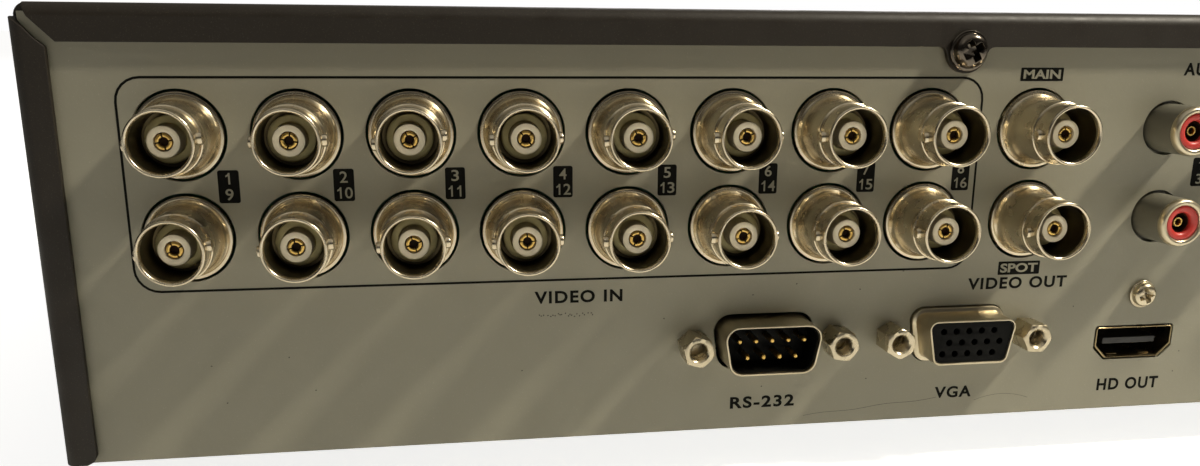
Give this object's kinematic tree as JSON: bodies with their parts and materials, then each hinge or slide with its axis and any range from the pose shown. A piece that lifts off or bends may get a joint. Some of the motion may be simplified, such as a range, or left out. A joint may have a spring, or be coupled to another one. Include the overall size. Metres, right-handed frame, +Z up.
{
  "type": "digital video recorder",
  "caption": "Low rack-width video recorder case with coaxial, audio, serial, video and network sockets behind and a jog dial, keys and display window in front.",
  "frame": {"origin": "centre of the overall footprint, on the surface that the feet stand on", "axes": "+Z up, front bezel towards -Y, connector panel towards +Y, +X to the right as seen from the front"},
  "size_m": [0.445, 0.4048, 0.078],
  "materials": {
    "panel_paint": "warm light-grey powder paint, fine texture, satin",
    "cover_paint": "near-black powder paint, fine texture, satin",
    "rubber_black": "matt moulded rubber",
    "black_chrome": "black chrome plated screw",
    "socket_nickel": "bright nickel plate on brass",
    "audio_plastic": "dark grey-green moulded plastic",
    "shell_tin": "tin plated steel",
    "black_plastic": "satin moulded plastic",
    "zinc_plate": "bright zinc plated steel",
    "terminal_green": "satin moulded plastic",
    "board_green": "solder mask over woven laminate",
    "drive_aluminium": "cast aluminium, satin",
    "bezel_black": "fine moulded texture, semi-gloss",
    "smoked_window": "smoked infrared window, polished",
    "silver_plastic": "silver painted plastic, satin",
    "harness_sleeve": "black woven sleeve and nylon housings"
  },
  "bodies": {
    "case": {"chassis_pan": "panel_paint", "top_cover": "cover_paint", "foot_front_left": "rubber_black", "foot_front_right": "rubber_black", "foot_rear_left": "rubber_black", "foot_rear_right": "rubber_black", "cover_screw_1": "black_chrome", "cover_screw_2": "black_chrome", "video_in_01": "socket_nickel", "video_in_02": "socket_nickel", "video_in_03": "socket_nickel", "video_in_04": "socket_nickel", "video_in_05": "socket_nickel", "video_in_06": "socket_nickel", "video_in_07": "socket_nickel", "video_in_08": "socket_nickel", "video_out_main": "socket_nickel", "video_in_09": "socket_nickel", "video_in_10": "socket_nickel", "video_in_11": "socket_nickel", "video_in_12": "socket_nickel", "video_in_13": "socket_nickel", "video_in_14": "socket_nickel", "video_in_15": "socket_nickel", "video_in_16": "socket_nickel", "video_out_spot": "socket_nickel", "audio_jacks": "audio_plastic", "serial_shell": "shell_tin", "vga_shell": "shell_tin", "digital_port": "shell_tin", "usb_rear": "shell_tin", "lan_jack": "shell_tin", "usb_front": "shell_tin", "serial_insert": "black_plastic", "vga_insert": "black_plastic", "power_inlet": "black_plastic", "fan_frame": "black_plastic", "serial_jackscrew_left": "zinc_plate", "serial_jackscrew_right": "zinc_plate", "vga_jackscrew_left": "zinc_plate", "vga_jackscrew_right": "zinc_plate", "digital_screw": "zinc_plate", "ground_screw": "zinc_plate", "terminal_header": "terminal_green", "mainboard": "board_green", "video_board": "board_green", "front_board": "board_green", "power_supply": "board_green", "hard_drive_1": "drive_aluminium", "hard_drive_2": "drive_aluminium", "front_bezel": "bezel_black", "status_window": "smoked_window", "power_harness": "harness_sleeve"},
    "pluggable_terminal": {"terminal_plug": "terminal_green"},
    "rocker": {"power_rocker": "black_plastic"},
    "fan": {"fan_rotor": "black_plastic"},
    "power_key": {"power_button": "silver_plastic"},
    "menu_key": {"menu_button": "silver_plastic"},
    "record_key": {"record_button": "silver_plastic"},
    "dial": {"jog_dial": "silver_plastic"}
  },
  "joints": [
    {"name": "terminal_pull", "type": "slide", "parent": "case", "child": "pluggable_terminal", "axis": [0, 1, 0], "range_m": [0, 0.012]},
    {"name": "rocker_tilt", "type": "hinge", "parent": "case", "child": "rocker", "pos_m": [-0.191, 0.19087, 0.041], "axis": [1, 0, 0], "range_deg": [0, 12]},
    {"name": "fan_spin", "type": "hinge", "parent": "case", "child": "fan", "pos_m": [-0.1045, 0.18427, 0.044], "axis": [0, 1, 0], "continuous": true},
    {"name": "power_press", "type": "slide", "parent": "case", "child": "power_key", "axis": [0, 1, 0], "range_m": [0, 0.001], "stiffness_N_per_m": 800, "springref_m": -0.0005},
    {"name": "menu_press", "type": "slide", "parent": "case", "child": "menu_key", "axis": [0, 1, 0], "range_m": [0, 0.001], "stiffness_N_per_m": 800, "springref_m": -0.0005},
    {"name": "record_press", "type": "slide", "parent": "case", "child": "record_key", "axis": [0, 1, 0], "range_m": [0, 0.001], "stiffness_N_per_m": 800, "springref_m": -0.0005},
    {"name": "dial_spin", "type": "hinge", "parent": "case", "child": "dial", "pos_m": [0.1225, -0.19942, 0.043], "axis": [0, 1, 0], "continuous": true}
  ]
}
